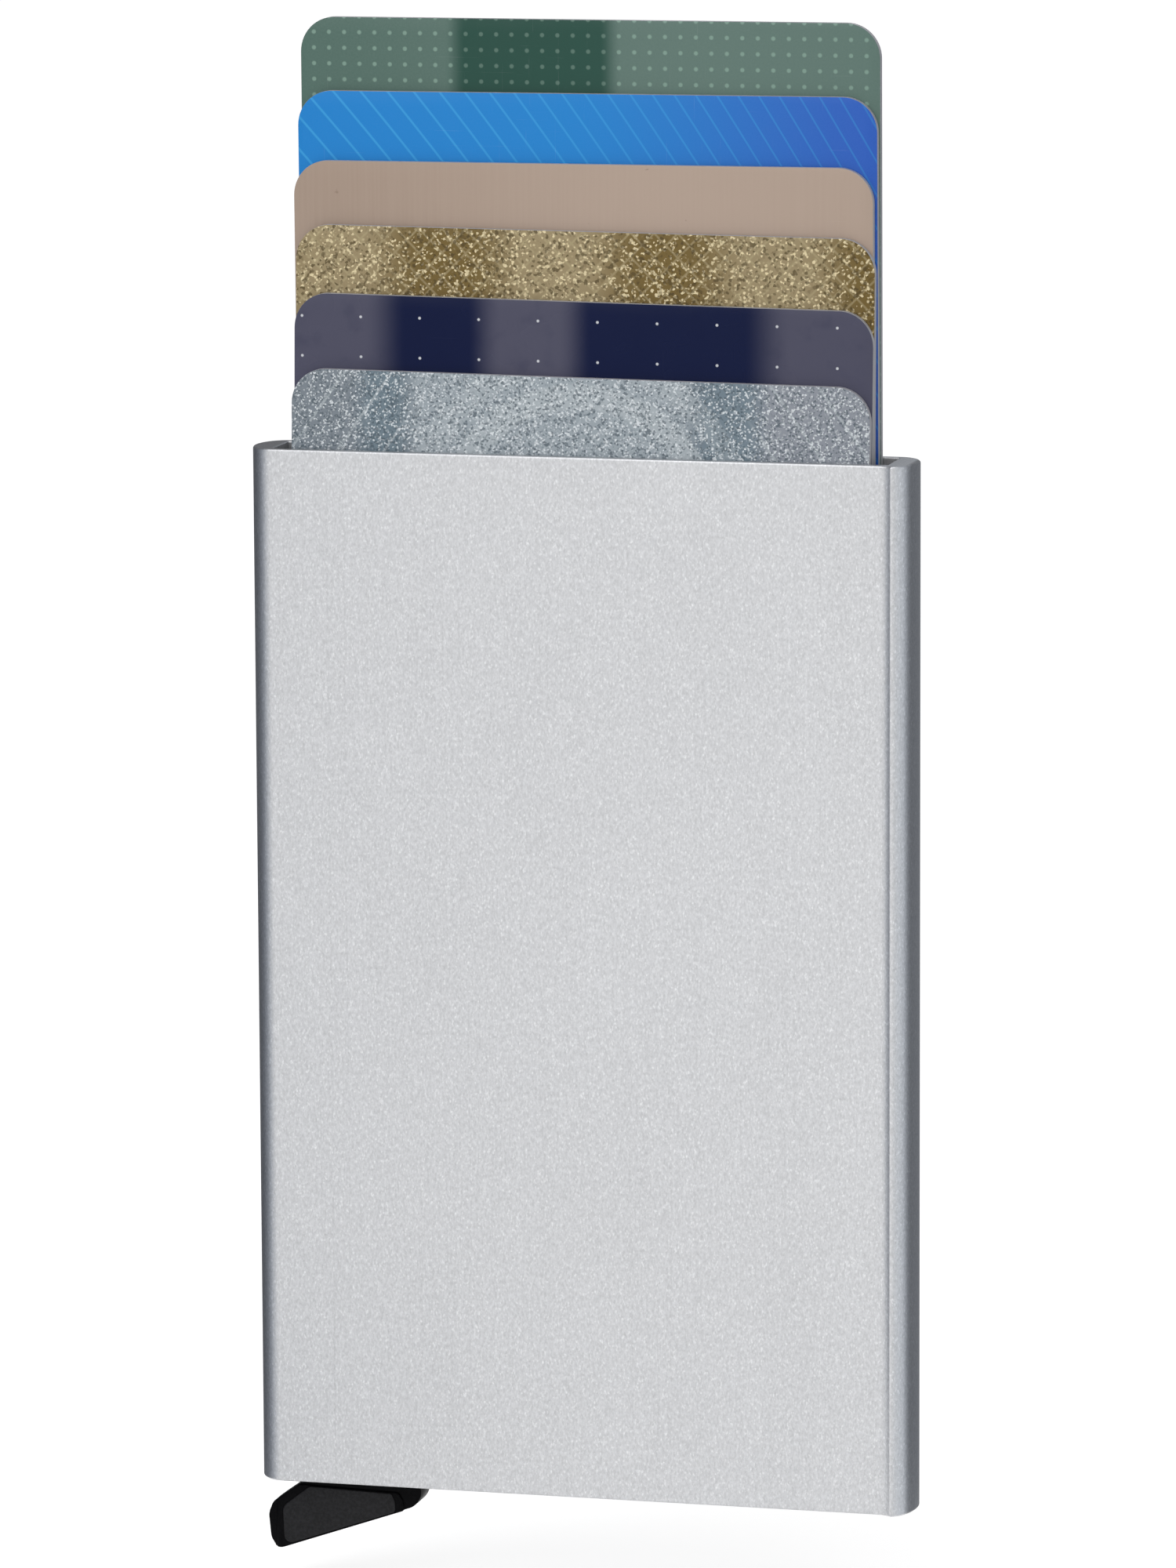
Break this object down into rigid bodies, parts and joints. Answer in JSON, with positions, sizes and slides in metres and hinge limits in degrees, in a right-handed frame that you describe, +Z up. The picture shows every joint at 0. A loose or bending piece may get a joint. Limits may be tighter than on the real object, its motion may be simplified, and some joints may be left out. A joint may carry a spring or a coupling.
{
  "type": "card holder",
  "caption": "Slim metal case for bank cards, with a thumb lever at one lower corner that fans the cards out of the open top in steps.",
  "frame": {"origin": "centre of the flat back panel, on its outer face", "axes": "+Z up towards the open end that the cards come out of, -Y out of the front panel, +X towards the proud rail"},
  "size_m": [0.0622, 0.008, 0.1426],
  "materials": {
    "shell_aluminium": "bead-blasted satin",
    "frame_plastic": "matte",
    "lever_plastic": "satin",
    "pin_steel": "ground",
    "spring_steel": "drawn wire",
    "felt": "felt",
    "card_grey": "fine glitter, stripes and arcs",
    "card_navy": "gloss with rows of fine dots",
    "card_gold": "glitter",
    "card_tan": "satin",
    "card_blue": "satin with fine slanting stripes",
    "card_green": "satin with a fine grid of dots"
  },
  "bodies": {
    "case": {"shell": "shell_aluminium", "inner_frame": "frame_plastic", "pivot_pin": "pin_steel", "return_spring": "spring_steel", "friction_strip_left": "felt", "friction_strip_right": "felt"},
    "lever": {"lever": "lever_plastic", "lever_arm": "lever_plastic"},
    "card_1": {"card_1": "card_grey"},
    "card_2": {"card_2": "card_navy"},
    "card_3": {"card_3": "card_gold"},
    "card_4": {"card_4": "card_tan"},
    "card_5": {"card_5": "card_blue"},
    "card_6": {"card_6": "card_green"}
  },
  "joints": [
    {"name": "lever_swing", "type": "hinge", "parent": "case", "child": "lever", "pos_m": [-0.0216, -0.0035, -0.04395], "axis": [0, -1, 0], "range_deg": [0, 68], "stiffness_Nm_per_rad": 0.004, "springref_deg": -17.19, "deforming": ["return_spring"]},
    {"name": "card_1_slide", "type": "slide", "parent": "case", "child": "card_1", "axis": [0, 0, 1], "range_m": [-0.0081, 0.0795]},
    {"name": "card_2_slide", "type": "slide", "parent": "case", "child": "card_2", "axis": [0, 0, 1], "range_m": [-0.0149, 0.0727]},
    {"name": "card_3_slide", "type": "slide", "parent": "case", "child": "card_3", "axis": [0, 0, 1], "range_m": [-0.0212, 0.0664]},
    {"name": "card_4_slide", "type": "slide", "parent": "case", "child": "card_4", "axis": [0, 0, 1], "range_m": [-0.0272, 0.0604]},
    {"name": "card_5_slide", "type": "slide", "parent": "case", "child": "card_5", "axis": [0, 0, 1], "range_m": [-0.0335, 0.0541]},
    {"name": "card_6_slide", "type": "slide", "parent": "case", "child": "card_6", "axis": [0, 0, 1], "range_m": [-0.0401, 0.0475]}
  ]
}
